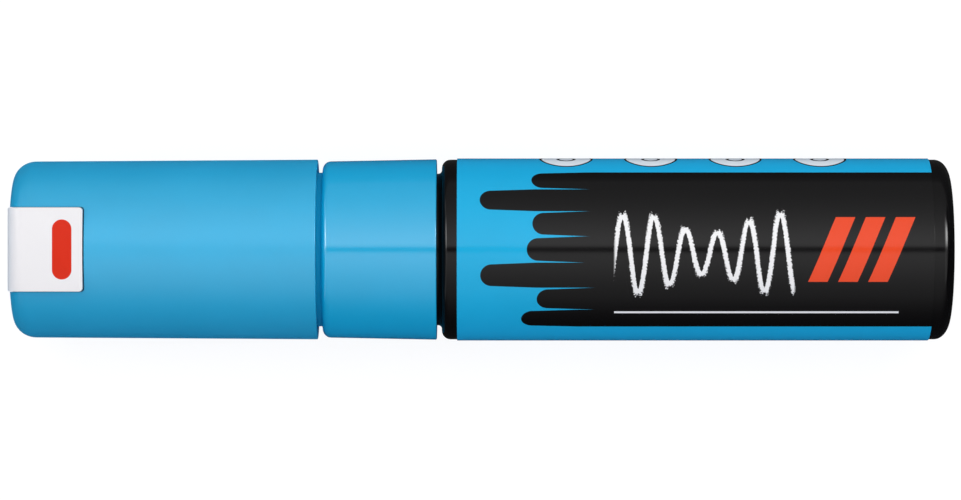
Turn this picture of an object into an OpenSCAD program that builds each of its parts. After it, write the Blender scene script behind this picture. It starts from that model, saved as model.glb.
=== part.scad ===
// Valve marker with a chisel nib, lying on its side with the cap on.
// Every piece is drawn round a vertical axis, from the barrel's rear face (height 0) up to the cap's end,
// and is then laid down along X with the cap towards -X and the cap's white tab facing up.

/* [Barrel] */
// Outside diameter of the ink barrel
barrel_d = 24.3; // [23.4:0.1:28]
// Length of the barrel from its rear face to its shoulder
barrel_len = 68.5; // [55:0.5:90]
// Wall of the barrel
barrel_wall = 1.6; // [1.2:0.1:1.8]
// Closed wall at the barrel's tail
base_wall = 2.4; // [1.8:0.1:4]
// Rounding of the tail, measured along the barrel
tail_round_len = 2; // [1:0.1:2.6]
// Rounding of the tail, measured inwards
tail_round_depth = 2.7; // [1:0.1:4]
// Rounding of the ink chamber's rear corner
chamber_round = 1.9; // [1:0.1:3]
// Rounding of the shoulder's outer edge
shoulder_round = 1.15; // [0.5:0.05:1.2]
// Step from the barrel down to its neck
shoulder_step = 1.9; // [1.7:0.05:2.2]
// Wall of the neck
neck_wall = 1.55; // [1.2:0.05:1.7]
// Fillet between the neck and the shoulder
neck_fillet = 0.5; // [0.2:0.1:0.6]
// Height of the snap bead round the neck
bead_h = 0.3; // [0.15:0.05:0.4]

/* [Label] */
// Thickness of the label film
label_film = 0.13; // [0.08:0.01:0.2]
// Bare barrel behind the label
label_tail_gap = 2.85; // [2.7:0.05:6]
// Bare barrel between the label and the shoulder
label_front_gap = 2.05; // [1.4:0.05:6]

/* [Grip section] */
// Length of the collar
collar_len = 15.4; // [13:0.1:22]
// How far the collar's rear edge stands out from the barrel
collar_proud = 0.05; // [0:0.01:0.2]
// Taper of the collar towards the cap, on the radius
collar_taper = 0.3; // [0:0.05:0.5]
// Rounding of the collar's front edge
collar_round = 1.1; // [0.4:0.1:1.2]
// Bare neck between the barrel's shoulder and the collar
collar_gap = 0.68; // [0.52:0.02:1.5]
// Wall between the valve's flange and the collar's front face
web_t = 2.9; // [2.2:0.1:4]
// Step from the collar down to the seat that the cap slides on
seat_step = 1.51; // [1.4:0.01:1.8]
// Length of the cap seat in front of the collar
cap_seat_len = 7.5; // [6:0.1:9]
// Wall of the cap seat, which is hollowed from behind
seat_wall = 1.4; // [1.1:0.05:1.6]
// Length of the step down from the cap seat to the nose
nose_step_len = 2.5; // [1.8:0.1:3]
// Diameter of the nose that the inner cap seals on
nose_d = 14.8; // [14.4:0.1:15]
// Length of the straight nose
nose_len = 6.5; // [5.5:0.1:8]
// Length of the tapered tip of the nose
nose_tip_len = 5; // [3.5:0.1:6]
// Diameter at the end of the nose
nose_tip_d = 12.8; // [12.4:0.1:13.6]
// Wall of the guide round the holder's stop flange
guide_wall = 0.9; // [0.7:0.1:1.1]

/* [Nib and holder] */
// Width of the chisel nib
nib_w = 8; // [6.5:0.1:8.2]
// Thickness of the chisel nib
nib_t = 5; // [3.5:0.1:5.4]
// Length of nib that stands out of the holder
nib_out = 10.6; // [8.5:0.1:12]
// Length of nib held in the holder
nib_in = 14; // [9:0.5:16]
// Slant of the writing edge
nib_slant = 27; // [0:1:40]
// Rounding of the nib's long edges
nib_round = 0.6; // [0.3:0.1:1]
// Outside diameter of the nib holder
holder_d = 10.8; // [10.4:0.1:11]
// Length of holder that stands out of the nose
holder_out = 0.6; // [0.2:0.1:1.5]
// Diameter of the holder's stop flange
holder_flange_d = 12.2; // [11.8:0.1:12.4]
// Thickness of the holder's stop flange
holder_flange_t = 2; // [1.2:0.1:3]
// Radius of each ink hole through the holder
feed_r = 0.9; // [0.5:0.1:1]
// How far the nib is pressed in to pump ink
press_travel = 2.8; // [1.5:0.1:3.5]

/* [Valve] */
// Thickness of the valve body's flange
flange_t = 1.4; // [1:0.1:2]
// Thickness of the gasket under the flange
gasket_t = 0.8; // [0.5:0.1:1.2]
// Depth of the valve body behind its flange
valve_depth = 13.5; // [12:0.5:18]
// Diameter of the valve chamber
chamber_d = 9.8; // [9:0.1:10.2]
// Wall of the valve chamber
chamber_wall = 1.3; // [1:0.1:1.5]
// Length of the skirt that plugs the neck
skirt_len = 4; // [2.5:0.1:6]
// Wall of that skirt
skirt_wall = 1; // [0.8:0.1:1.1]
// Diameter of the ink port
port_d = 5.2; // [4.6:0.1:5.6]
// Length of the ink port
port_len = 2.2; // [1.6:0.1:2.6]
// Diameter of the stem's rod
stem_d = 3.6; // [3:0.1:3.8]
// Diameter of the stem's conical head
stem_head_d = 7.8; // [7.4:0.1:8.2]
// Thickness of the head behind its cone
stem_head_t = 0.9; // [0.6:0.1:1.4]
// Diameter of the guide pin behind the head
stem_pin_d = 2.6; // [2:0.1:3]
// Thickness of the stem's rubber ring
seal_wire_d = 0.9; // [0.7:0.05:1]
// How far the rubber ring stands out of the stem's cone
seal_proud = 0.25; // [0.15:0.01:0.3]
// Thickness of the spring retainer
retainer_t = 1.4; // [1:0.1:2]
// Ink windows in the spring retainer
retainer_windows = 4; // [3:1:5]
// Wire of the spring
spring_wire_d = 0.5; // [0.35:0.05:0.6]
// Mean diameter of the spring
spring_mean_d = 5.2; // [4.8:0.1:6]
// Turns of the spring, the closed end turns included
spring_turns = 7; // [5:1:8]

/* [Mixing ball] */
// Diameter of the mixing ball
ball_d = 7; // [5:0.5:8]

/* [Cap] */
// Length of the cap
cap_len = 41; // [39.5:0.1:46]
// Wall of the cap at its mouth
cap_wall = 1.61; // [1.4:0.01:2]
// Taper of the cap towards its end, on the radius
cap_taper = 0.25; // [0:0.05:0.4]
// Rounding of the cap's mouth
cap_mouth_round = 0.25; // [0.1:0.05:0.4]
// Rounding of the cap's end, measured along the cap
cap_round_len = 3; // [2:0.1:3.6]
// Rounding of the cap's end, measured inwards
cap_round_depth = 2.7; // [2:0.1:3.6]
// Gap between the cap's mouth and the collar
cap_gap = 0.7; // [0.3:0.05:1.2]
// Wall at the cap's closed end
cap_end_wall = 3; // [2.4:0.1:4]
// Ribs that hold the inner cap
cap_ribs = 8; // [4:1:10]
// Thickness of one rib
cap_rib_t = 1; // [0.7:0.1:1.4]

/* [Inner cap] */
// Outside diameter of the inner cap
inner_cap_d = 16.6; // [16.4:0.1:17]
// Length of nose that the inner cap covers
seal_len = 3.8; // [2.5:0.1:5]
// Thickness of the inner cap's floor
inner_cap_floor = 0.9; // [0.6:0.1:1.3]
// Diameter of the rim at the inner cap's mouth
inner_rim_d = 18.6; // [18:0.1:19]
// Thickness of that rim
inner_rim_t = 0.8; // [0.5:0.1:1.2]

/* [Cap tab] */
// Width of the white tab
tab_w = 11.2; // [9:0.1:12]
// Length of the tab along the cap
tab_len = 10; // [8:0.1:12]
// Thickness of the tab
tab_t = 2.4; // [2:0.1:2.8]
// Rounding where the tab folds over the cap's end
tab_fold_r = 2.3; // [1:0.1:2.6]
// Rounding of the two corners at the tab's free end
tab_corner_r = 0.5; // [0.2:0.1:1]
// Thickness of the strap over the cap's end
strap_t = 1.3; // [1:0.1:1.6]
// How far the strap stands out of the cap's end
strap_proud = 0.1; // [0:0.05:0.4]
// Solid cap wall between the tab's pocket and the cap's bore
pocket_wall = 2.4; // [1.5:0.1:4]
// Diameter of the peg that holds the tab piece
peg_d = 4; // [3:0.1:5]

/* [Clearances] */
// Radial gap of pieces that are pressed or glued together
press_gap = 0.03; // [0.01:0.01:0.05]
// Radial gap of pieces that slide in each other
slide_gap = 0.1; // [0.06:0.01:0.14]
// Radial gap between the cap's bore and its seat
cap_fit_gap = 0.15; // [0.1:0.01:0.2]
// Visible gap round the white tab
tab_gap = 0.2; // [0.1:0.01:0.3]
// Gap at a closed stop or seat
stop_gap = 0.06; // [0.04:0.01:0.1]
// Room that moving pieces keep at the end of their travel
end_gap = 0.4; // [0.3:0.1:0.8]

/* [Hidden] */
$fn = 96;
arc_steps = 8;

// How far a cut runs past the face that it opens, and how deep a rib is rooted in its wall
past = 1;
rib_root = 0.4;

// Stations along the axis, from the barrel's rear face
at_shoulder = barrel_len;
at_collar = at_shoulder + collar_gap;
at_collar_front = at_collar + collar_len;
at_cap_mouth = at_collar_front + cap_gap;
at_cap_end = at_cap_mouth + cap_len;
total_len = at_cap_end + strap_proud;

// Radii of the outside, from the barrel towards the cap
barrel_r = barrel_d / 2;
label_r = barrel_r + press_gap + label_film;
bore_r = barrel_r - barrel_wall;
neck_r = barrel_r - shoulder_step;
neck_bore_r = neck_r - neck_wall;
collar_rear_r = barrel_r + collar_proud;
collar_front_r = collar_rear_r - collar_taper;
cap_seat_r = collar_front_r - seat_step;
cap_bore_r = cap_seat_r + cap_fit_gap;
cap_mouth_r = cap_bore_r + cap_wall;
cap_end_r = cap_mouth_r - cap_taper;
rest_r = max(label_r, collar_rear_r, cap_mouth_r);

// The valve's stack between the neck's mouth and the web of the grip section
at_web = at_collar_front - web_t;
at_flange = at_web - flange_t;
at_neck_end = at_flange - gasket_t;
at_valve_rear = at_flange - valve_depth;
at_retainer_front = at_valve_rear + retainer_t;
at_port_rear = at_web - port_len;
at_bead = (at_collar + at_neck_end) / 2;
plug_r = neck_bore_r - press_gap;
chamber_r = chamber_d / 2;
port_r = port_d / 2;

// The valve's seat is a 45 degree cone, and the stem's cone runs parallel to it behind the rubber ring
stem_r = stem_d / 2;
stem_head_r = stem_head_d / 2;
stem_pin_r = stem_pin_d / 2;
seal_r = seal_wire_d / 2;
function seat_height(r, gap) = at_port_rear + port_r - r - gap * sqrt(2);
at_stem_cone = seat_height(stem_r, seal_proud + stop_gap);
at_head_edge = seat_height(stem_head_r, seal_proud + stop_gap);
at_head_rear = at_head_edge - stem_head_t;
seal_ring_r = (port_r + stem_head_r) / 2;
at_seal = seat_height(seal_ring_r, seal_r + stop_gap);

// The nose, the nib holder and the nib
nose_r = nose_d / 2;
at_seat_end = at_collar_front + cap_seat_len;
at_nose = at_seat_end + nose_step_len;
at_nose_tip = at_nose + nose_len + nose_tip_len;
at_holder_rear = at_web + press_travel + end_gap;
at_holder_stop = at_holder_rear + holder_flange_t;
at_holder_front = at_nose_tip + holder_out;
at_socket = at_holder_front - nib_in;
at_nib_tip = at_holder_front + nib_out;
holder_r = holder_d / 2;
holder_flange_r = holder_flange_d / 2;
guide_r = holder_r + slide_gap;
stop_bore_r = holder_flange_r + slide_gap;

// The cap's inside
at_cap_floor = at_cap_end - cap_end_wall;
at_inner_lip = at_nose + nose_len - seal_len;
at_ribs = at_inner_lip + inner_rim_t;
inner_cap_r = inner_cap_d / 2;
inner_rim_r = inner_rim_d / 2;
inner_bore_r = nose_r + slide_gap;
core_r = inner_cap_r + press_gap;

// The white tab is flat on top, level with the cap's surface at the middle of the tab
at_tab = at_cap_end - tab_len;
at_core = at_tab - pocket_wall;
function cap_r_at(height) = cap_mouth_r - cap_taper * min(1, (height - at_cap_mouth) / (cap_len - cap_round_len));
tab_top = cap_r_at(at_tab + tab_len / 2);
tab_under = tab_top - tab_t;
peg_r = peg_d / 2;
flat_end_r = cap_end_r - cap_round_depth;

// Points of an elliptical arc round a centre, with half axes a and b
function arc(centre, a, b, from, to) =
    [for (i = [0 : arc_steps]) let (t = from + (to - from) * i / arc_steps)
        centre + [a * cos(t), b * sin(t)]];

// A half-round bead or groove on a cylinder, listed from its rear to its front
function bead(r, height, h) = arc([r, height], h, h, -90, 90);

// Turns a profile of [radius, height] points about the axis
module turned(profile) {
    rotate_extrude() polygon(profile);
}

// Lays a piece down: height runs to -X, and the front of the marker faces up
module laid() {
    translate([total_len / 2, 0, rest_r]) rotate([0, -90, 0]) children();
}

module barrel() {
    tail_flat_r = barrel_r - tail_round_depth;
    inner_shoulder = at_shoulder - neck_fillet;
    outside = concat(
        [[0, 0]],
        arc([tail_flat_r, tail_round_len], tail_round_depth, tail_round_len, -90, 0),
        arc([barrel_r - shoulder_round, at_shoulder - shoulder_round], shoulder_round, shoulder_round, 0, 90),
        arc([neck_r + neck_fillet, at_shoulder + neck_fillet], neck_fillet, neck_fillet, 270, 180),
        bead(neck_r, at_bead, bead_h),
        [[neck_r, at_neck_end], [neck_bore_r, at_neck_end]]
    );
    inside = concat(
        [[neck_bore_r, inner_shoulder], [bore_r, inner_shoulder - barrel_wall]],
        arc([bore_r - chamber_round, base_wall + chamber_round], chamber_round, chamber_round, 0, -90),
        [[0, base_wall]]
    );
    color("#141416") laid() turned(concat(outside, inside));
}

module label_sleeve() {
    inner = barrel_r + press_gap;
    rear = label_tail_gap;
    front = at_shoulder - label_front_gap;
    color("#1593cf") laid() turned([[inner, rear], [label_r, rear], [label_r, front], [inner, front]]);
}

module grip_section() {
    bore = neck_r + press_gap;
    stop_front = at_holder_stop + stop_gap;
    guide_wall_r = stop_bore_r + guide_wall;
    core_outer_r = cap_seat_r - seat_wall;
    core_front = at_seat_end - seat_wall;
    seat_bead = cap_fit_gap / 2;
    outside = concat(
        [[bore, at_collar], [collar_rear_r, at_collar]],
        arc([collar_front_r - collar_round, at_collar_front - collar_round], collar_round, collar_round, 0, 90),
        [[cap_seat_r, at_collar_front]],
        bead(cap_seat_r, at_cap_mouth + cap_seat_len / 4, seat_bead),
        bead(cap_seat_r, at_cap_mouth + cap_seat_len / 2, seat_bead),
        [[cap_seat_r, at_seat_end], [nose_r, at_nose], [nose_r, at_nose + nose_len],
         [nose_tip_d / 2, at_nose_tip]]
    );
    inside = [
        [guide_r, at_nose_tip], [guide_r, stop_front], [stop_bore_r, stop_front], [stop_bore_r, at_web],
        [guide_wall_r, at_web], [guide_wall_r, core_front], [core_outer_r, core_front], [core_outer_r, at_web],
        [bore, at_web]
    ];
    groove = concat([[bore - bead_h, at_bead - bead_h]], bead(bore, at_bead, bead_h),
        [[bore - bead_h, at_bead + bead_h]]);
    color("#3aa5d8") laid() difference() {
        turned(concat(outside, inside));
        turned(groove);
    }
}

module valve_body() {
    tube_r = chamber_r + chamber_wall;
    skirt_rear = at_flange - skirt_len;
    profile = [
        [port_r, at_web], [neck_r, at_web], [neck_r, at_flange],
        [plug_r, at_flange], [plug_r, skirt_rear], [plug_r - skirt_wall, skirt_rear],
        [plug_r - skirt_wall, at_flange], [tube_r, at_flange], [tube_r, at_valve_rear],
        [chamber_r, at_valve_rear], [chamber_r, seat_height(chamber_r, 0)], [port_r, at_port_rear]
    ];
    color("#e9e8e2") laid() turned(profile);
}

module valve_gasket() {
    profile = [[neck_bore_r, at_neck_end], [neck_r, at_neck_end], [neck_r, at_flange], [neck_bore_r, at_flange]];
    color("#2b2b2d") laid() turned(profile);
}

// Closed end turns lie wire on wire, and the turns between them share the rest of the length
function coil_height(turn, length) =
    turn < 1 ? spring_wire_d * (turn + 0.5)
    : turn > spring_turns - 1 ? length - spring_wire_d * (spring_turns - turn + 0.5)
    : spring_wire_d * 1.5 + (length - 3 * spring_wire_d) * (turn - 1) / (spring_turns - 2);

module valve_spring() {
    length = at_head_rear - at_retainer_front - 2 * stop_gap;
    sides = 8;
    steps = 18;
    rings = spring_turns * steps;
    mean_r = spring_mean_d / 2;
    wire_r = spring_wire_d / 2;
    points = [for (i = [0 : rings], k = [0 : sides - 1])
        let (turn = i / steps, out = mean_r + wire_r * cos(360 * k / sides))
        [out * cos(360 * turn), out * sin(360 * turn),
         coil_height(turn, length) + wire_r * sin(360 * k / sides)]];
    skin = [for (i = [0 : rings - 1], k = [0 : sides - 1])
        let (a = i * sides + k, b = i * sides + (k + 1) % sides)
        [a, b, b + sides, a + sides]];
    ends = [[for (k = [sides - 1 : -1 : 0]) k], [for (k = [0 : sides - 1]) rings * sides + k]];
    color("#b9bcc0") laid() translate([0, 0, at_retainer_front + stop_gap])
        polyhedron(points = points, faces = concat(skin, ends), convexity = 10);
}

module spring_retainer() {
    outer = chamber_r - press_gap;
    hole_r = stem_pin_r + slide_gap;
    window_r = (outer - hole_r) / 4;
    window_at = (outer + hole_r) / 2;
    profile = [[hole_r, at_valve_rear], [outer, at_valve_rear], [outer, at_retainer_front],
        [hole_r, at_retainer_front]];
    color("#dddcd6") laid() difference() {
        turned(profile);
        for (i = [0 : retainer_windows - 1])
            rotate([0, 0, 360 * i / retainer_windows]) translate([window_at, 0, at_valve_rear - past])
                cylinder(r = window_r, h = retainer_t + 2 * past);
    }
}

// The rubber ring's round section, or the groove that it lies in
module seal_round(r) {
    rotate_extrude() translate([seal_ring_r, at_seal]) circle(r = r);
}

module valve_stem() {
    pin_end = at_valve_rear - stop_gap;
    profile = [[0, pin_end], [stem_pin_r, pin_end], [stem_pin_r, at_head_rear], [stem_head_r, at_head_rear],
        [stem_head_r, at_head_edge], [stem_r, at_stem_cone], [stem_r, at_holder_rear], [0, at_holder_rear]];
    color("#f0efe9") laid() difference() {
        turned(profile);
        seal_round(seal_r + press_gap);
    }
}

module stem_seal() {
    color("#26262a") laid() seal_round(seal_r);
}

// Outline of the nib across its axis, thickness along X and width along Y
module nib_outline(gap) {
    r = nib_round;
    x = nib_t / 2 + gap - r;
    y = nib_w / 2 + gap - r;
    polygon(concat(arc([x, y], r, r, 0, 90), arc([-x, y], r, r, 90, 180),
        arc([-x, -y], r, r, 180, 270), arc([x, -y], r, r, 270, 360)));
}

module nib_holder() {
    feed_at = stem_r + feed_r + slide_gap;
    profile = [[0, at_holder_rear], [holder_flange_r, at_holder_rear], [holder_flange_r, at_holder_stop],
        [holder_r, at_holder_stop], [holder_r, at_holder_front], [0, at_holder_front]];
    color("#f4f3ee") laid() difference() {
        turned(profile);
        translate([0, 0, at_socket]) linear_extrude(nib_in + past) nib_outline(press_gap);
        for (side = [-1, 1])
            translate([0, side * feed_at, at_holder_rear - past])
                cylinder(r = feed_r, h = at_socket - at_holder_rear + past + stop_gap);
    }
}

module nib() {
    length = at_nib_tip - at_socket;
    color("#8fc6e3") laid() difference() {
        translate([0, 0, at_socket]) linear_extrude(length) nib_outline(0);
        translate([0, nib_w / 2, at_nib_tip]) rotate([nib_slant, 0, 0])
            translate([-nib_t, -length, 0]) cube([2 * nib_t, 2 * length, length]);
    }
}

module mixing_ball() {
    r = ball_d / 2;
    color("#c9ccd1") laid() translate([r + slide_gap - bore_r, 0, base_wall + r + end_gap]) sphere(r = r);
}

// The outline of the white tab piece from the side, with the front of the cap at +X
module tab_outline(gap) {
    top = tab_top + gap;
    end = total_len + gap;
    seat = at_cap_end - strap_t;
    polygon(concat(
        [[-flat_end_r - gap, seat], [tab_under, seat], [tab_under, at_tab - gap], [top, at_tab - gap]],
        arc([top - tab_fold_r, end - tab_fold_r], tab_fold_r, tab_fold_r, 0, 90),
        [[-flat_end_r - gap, end]]));
}

// The outline of the tab from above, with rounded corners at its free end
module tab_plan(gap) {
    half = tab_w / 2 + gap;
    r = tab_corner_r;
    rear = at_tab - gap;
    polygon(concat(
        arc([r - half, rear + r], r, r, 180, 270),
        arc([half - r, rear + r], r, r, 270, 360),
        [[half, total_len + past], [-half, total_len + past]]));
}

// The tab piece without its peg: the folded strip, with its far end rounded across the cap's end
module tab_strip(gap) {
    half = tab_w / 2 + gap;
    round_at = tab_w / 2 - flat_end_r;
    reach = tab_top - round_at + past;
    intersection() {
        translate([0, half, 0]) rotate([90, 0, 0]) linear_extrude(2 * half) tab_outline(gap);
        translate([-cap_mouth_r, 0, 0]) rotate([90, 0, 90]) linear_extrude(2 * cap_mouth_r) tab_plan(gap);
        translate([round_at, 0, at_tab - past]) linear_extrude(tab_len + 2 * past) union() {
            circle(r = half);
            translate([0, -half]) square([reach, 2 * half]);
        }
    }
}

module cap_end_insert() {
    color("#f1f0f3") laid() union() {
        tab_strip(0);
        translate([0, 0, at_cap_floor]) cylinder(r = peg_r, h = cap_end_wall - strap_t / 2);
    }
}

module cap_shell() {
    profile = concat(
        [[cap_bore_r + cap_mouth_round, at_cap_mouth]],
        arc([cap_mouth_r - cap_mouth_round, at_cap_mouth + cap_mouth_round],
            cap_mouth_round, cap_mouth_round, -90, 0),
        arc([flat_end_r, at_cap_end - cap_round_len], cap_round_depth, cap_round_len, 0, 90),
        [[0, at_cap_end], [0, at_cap_floor], [core_r, at_cap_floor], [core_r, at_core],
         [cap_bore_r, at_core - (cap_bore_r - core_r)], [cap_bore_r, at_cap_mouth + 2 * cap_mouth_round]]
    );
    color("#2f9ed3") laid() difference() {
        union() {
            turned(profile);
            for (i = [0 : cap_ribs - 1])
                rotate([0, 0, 360 * (i + 0.5) / cap_ribs]) translate([core_r, -cap_rib_t / 2, at_ribs])
                    cube([cap_bore_r - core_r + rib_root, cap_rib_t, at_core - at_ribs]);
        }
        tab_strip(tab_gap);
        translate([0, 0, at_cap_floor - past]) cylinder(r = peg_r + press_gap, h = cap_end_wall + 2 * past);
    }
}

module inner_cap() {
    floor_under = at_cap_floor - inner_cap_floor;
    profile = [[inner_bore_r, at_inner_lip], [inner_rim_r, at_inner_lip], [inner_rim_r, at_ribs],
        [inner_cap_r, at_ribs], [inner_cap_r, at_cap_floor], [0, at_cap_floor], [0, floor_under],
        [inner_bore_r, floor_under]];
    color("#e6eef2") laid() turned(profile);
}

barrel();
label_sleeve();
grip_section();
valve_body();
valve_gasket();
valve_spring();
spring_retainer();
valve_stem();
stem_seal();
nib_holder();
nib();
mixing_ball();
cap_shell();
inner_cap();
cap_end_insert();
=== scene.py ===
# %% [markdown]
# # A broad marker with a sprung valve
# The marker lies on its side with its cap on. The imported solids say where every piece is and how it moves.
# This script gives them their looks: softened edges, a printed label, satin plastics, steel and fibre. Each
# step first says what the piece is on the real marker, and then how it is made here.

# %% Load the solids
import math

import bmesh
import bpy
from mathutils import Matrix, Vector


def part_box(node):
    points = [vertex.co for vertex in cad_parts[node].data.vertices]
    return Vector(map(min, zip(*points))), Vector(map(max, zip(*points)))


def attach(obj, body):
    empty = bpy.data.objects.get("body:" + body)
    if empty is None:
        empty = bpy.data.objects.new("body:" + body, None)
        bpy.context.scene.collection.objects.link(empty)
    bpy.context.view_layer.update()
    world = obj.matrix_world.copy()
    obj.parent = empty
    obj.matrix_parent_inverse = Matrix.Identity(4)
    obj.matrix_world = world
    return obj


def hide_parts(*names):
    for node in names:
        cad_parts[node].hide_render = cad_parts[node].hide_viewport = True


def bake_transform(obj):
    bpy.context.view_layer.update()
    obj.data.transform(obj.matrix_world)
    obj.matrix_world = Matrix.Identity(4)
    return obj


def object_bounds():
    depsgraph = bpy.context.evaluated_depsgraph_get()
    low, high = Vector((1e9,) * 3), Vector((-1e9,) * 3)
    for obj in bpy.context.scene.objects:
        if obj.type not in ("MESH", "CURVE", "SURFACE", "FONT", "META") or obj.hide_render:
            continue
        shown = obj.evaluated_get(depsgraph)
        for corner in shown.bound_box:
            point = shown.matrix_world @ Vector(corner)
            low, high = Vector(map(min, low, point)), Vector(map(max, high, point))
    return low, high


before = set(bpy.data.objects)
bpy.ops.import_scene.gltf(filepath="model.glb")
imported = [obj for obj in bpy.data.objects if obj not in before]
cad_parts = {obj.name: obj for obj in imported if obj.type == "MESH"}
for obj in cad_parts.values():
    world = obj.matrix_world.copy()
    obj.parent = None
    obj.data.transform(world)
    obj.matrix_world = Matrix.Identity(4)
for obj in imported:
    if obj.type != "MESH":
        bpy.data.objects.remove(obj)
cad_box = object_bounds()
MM = 0.001
reach_mm = [round(v / MM, 2) for v in cad_box[1] - cad_box[0]]
print("solids loaded:", len(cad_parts), "reach in mm:", reach_mm)

# %% [markdown]
# ## Where things are
# A pen maker measures a barrel from its rear face and from its axis, so this script does the same. A
# station is a number of millimetres ahead of the tail, and a radius is measured from the axis. A small
# function turns such a pair into a place in the scene, in metres, with the cap towards -X.

# %% Stations along the marker
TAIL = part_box("barrel")[1].x / MM
AXIS = (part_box("barrel")[0].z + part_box("barrel")[1].z) / 2 / MM


def place(ahead, across=0.0, above=0.0):
    """The scene point that lies so many mm ahead of the tail, across the marker and above its axis."""
    return Vector(((TAIL - ahead) * MM, across * MM, (AXIS + above) * MM))


def ahead_of_tail(node):
    """First and last station of a solid, in mm ahead of the tail."""
    low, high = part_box(node)
    return TAIL - high.x / MM, TAIL - low.x / MM


for name in ("barrel", "label_sleeve", "grip_section", "cap_shell"):
    print(name, "runs from %.2f to %.2f mm ahead of the tail" % ahead_of_tail(name))

# %% [markdown]
# ## Node trees written as sums
# Geometry and materials are both made of node trees here. A Math node takes four lines by hand, so a small
# class lets a formula be written as a formula: each sign in it adds one Math node to the tree.

# %% A field, and helpers that add nodes


def plug(tree, socket, value):
    """Feeds a socket from a field, from a node's first output, from a socket or with a plain value."""
    if isinstance(value, Field):
        value = value.socket
    if isinstance(value, bpy.types.Node):
        value = value.outputs[0]
    if isinstance(value, bpy.types.NodeSocket):
        tree.links.new(value, socket)
    else:
        socket.default_value = value


class Field:
    """A number that varies over a surface. A sum written with it adds Math nodes to its tree."""

    def __init__(self, tree, socket):
        self.tree, self.socket = tree, socket

    def sum(self, operation, *others, clamp=False):
        made = self.tree.nodes.new("ShaderNodeMath")
        made.operation, made.use_clamp = operation, clamp
        for socket, value in zip(made.inputs, (self, *others)):
            plug(self.tree, socket, value)
        return Field(self.tree, made.outputs[0])

    def __add__(self, other):
        return self.sum("ADD", other)

    def __sub__(self, other):
        return self.sum("SUBTRACT", other)

    def __rsub__(self, other):
        return self.sum("MULTIPLY_ADD", -1.0, other)

    def __mul__(self, other):
        return self.sum("MULTIPLY", other)

    def __truediv__(self, other):
        return self.sum("DIVIDE", other)

    def __abs__(self):
        return self.sum("ABSOLUTE")

    def __lt__(self, other):
        return self.sum("LESS_THAN", other)

    def __gt__(self, other):
        return self.sum("GREATER_THAN", other)

    def at_least(self, other):
        return self.sum("MAXIMUM", other)

    def at_most(self, other):
        return self.sum("MINIMUM", other)

    def past(self, level, blur):
        """Rises from 0 to 1 as the field passes a level, over a width of blur."""
        return self.sum("MULTIPLY_ADD", 1 / blur, 0.5 - level / blur, clamp=True)


def add(tree, kind, inputs=None, **settings):
    """Adds a node, sets its options and feeds its sockets, which are named or numbered."""
    made = tree.nodes.new(kind)
    for name, value in settings.items():
        setattr(made, name, value)
    for name, value in (inputs or {}).items():
        plug(tree, made.inputs[name], value)
    return made


def geo(tree, kind, *inputs, **settings):
    """Adds a node that only geometry trees have."""
    return add(tree, "GeometryNode" + kind, *inputs, **settings)


def vector(tree, **parts):
    """A vector made of its parts X, Y and Z."""
    return add(tree, "ShaderNodeCombineXYZ", parts)


def xyz(tree, whole):
    """The three parts of a vector, as fields."""
    parts = add(tree, "ShaderNodeSeparateXYZ", {0: whole})
    return [Field(tree, part) for part in parts.outputs]


print("helpers ready")

# %% [markdown]
# ## Finishes: moulded plastic
# The cap, the collar and the barrel are injection moulded. Such a skin isn't one flat colour: the pigment
# clouds a little, the satin of the mould leaves a fine grain, and the gloss varies from place to place. An
# image could hold that, but noise in Object coordinates has no seam and no fixed resolution.

# %% Noise and colours


def new_finish(name, **constants):
    """A material with one Principled shader, whose constant sockets are set by name."""
    material = bpy.data.materials.new(name)
    material.use_nodes = True
    shader = material.node_tree.nodes["Principled BSDF"]
    for socket, value in constants.items():
        shader.inputs[socket.replace("_", " ")].default_value = value
    return material, material.node_tree, shader


def on_object(tree):
    """Object coordinates, in metres."""
    return add(tree, "ShaderNodeTexCoord").outputs["Object"]


def noise(tree, spot, per_mm, detail, seed, unit=MM):
    """Soft noise from 0 to 1 with so many bumps to the mm; unit says how long a mm is in spot."""
    made = add(tree, "ShaderNodeTexNoise", {
        "Vector": spot, "W": seed, "Scale": per_mm / unit, "Detail": detail}, noise_dimensions="4D")
    return Field(tree, made.outputs["Fac"])


def blend_colours(tree, share, below, above):
    """Lays one colour over another, by a share from 0 to 1."""
    made = add(tree, "ShaderNodeMix", {0: share, 6: below, 7: above}, data_type="RGBA")
    return made.outputs[2]


def shade(colour, factor):
    """A colour made lighter or darker, with its alpha."""
    return (*[min(1.0, part * factor) for part in colour[:3]], 1.0)


def coat(tree, shader, colour, roughness, bumps=None, depth=0.0):
    """Feeds a shader its colour and its roughness, and bumps that are so many mm deep, if any."""
    plug(tree, shader.inputs["Base Color"], colour)
    plug(tree, shader.inputs["Roughness"], roughness)
    if bumps:
        skin = add(tree, "ShaderNodeBump", {"Height": bumps, "Strength": 1.0, "Distance": depth * MM})
        plug(tree, shader.inputs["Normal"], skin)


print("colour helpers ready")

# %% Materials of moulded plastic
CLOUDS_PER_MM = 0.12
CLOUD_GLOSS, GRAIN_GLOSS = 0.08, 0.06
POLYMER_BLUE = (0.003, 0.357, 0.622)
DEEP_BLACK = (0.0030, 0.0027, 0.0030)


def moulded(name, colour, gloss, cloud=0.05, grain=6.0, grain_depth=0.002, specular=0.35):
    """Satin or glossy moulded plastic; gloss is its mean roughness, and grain counts bumps to the mm."""
    material, tree, shader = new_finish(name, Specular_IOR_Level=specular)
    spot = on_object(tree)
    clouds = noise(tree, spot, CLOUDS_PER_MM, detail=3.0, seed=1.0)
    fine = noise(tree, spot, grain, detail=1.0, seed=2.0)
    pigment = blend_colours(tree, clouds, shade(colour, 1 - cloud), shade(colour, 1 + cloud))
    even = gloss - (CLOUD_GLOSS + GRAIN_GLOSS) / 2
    coat(tree, shader, pigment, clouds * CLOUD_GLOSS + fine * GRAIN_GLOSS + even, fine, grain_depth)
    return material


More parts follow.
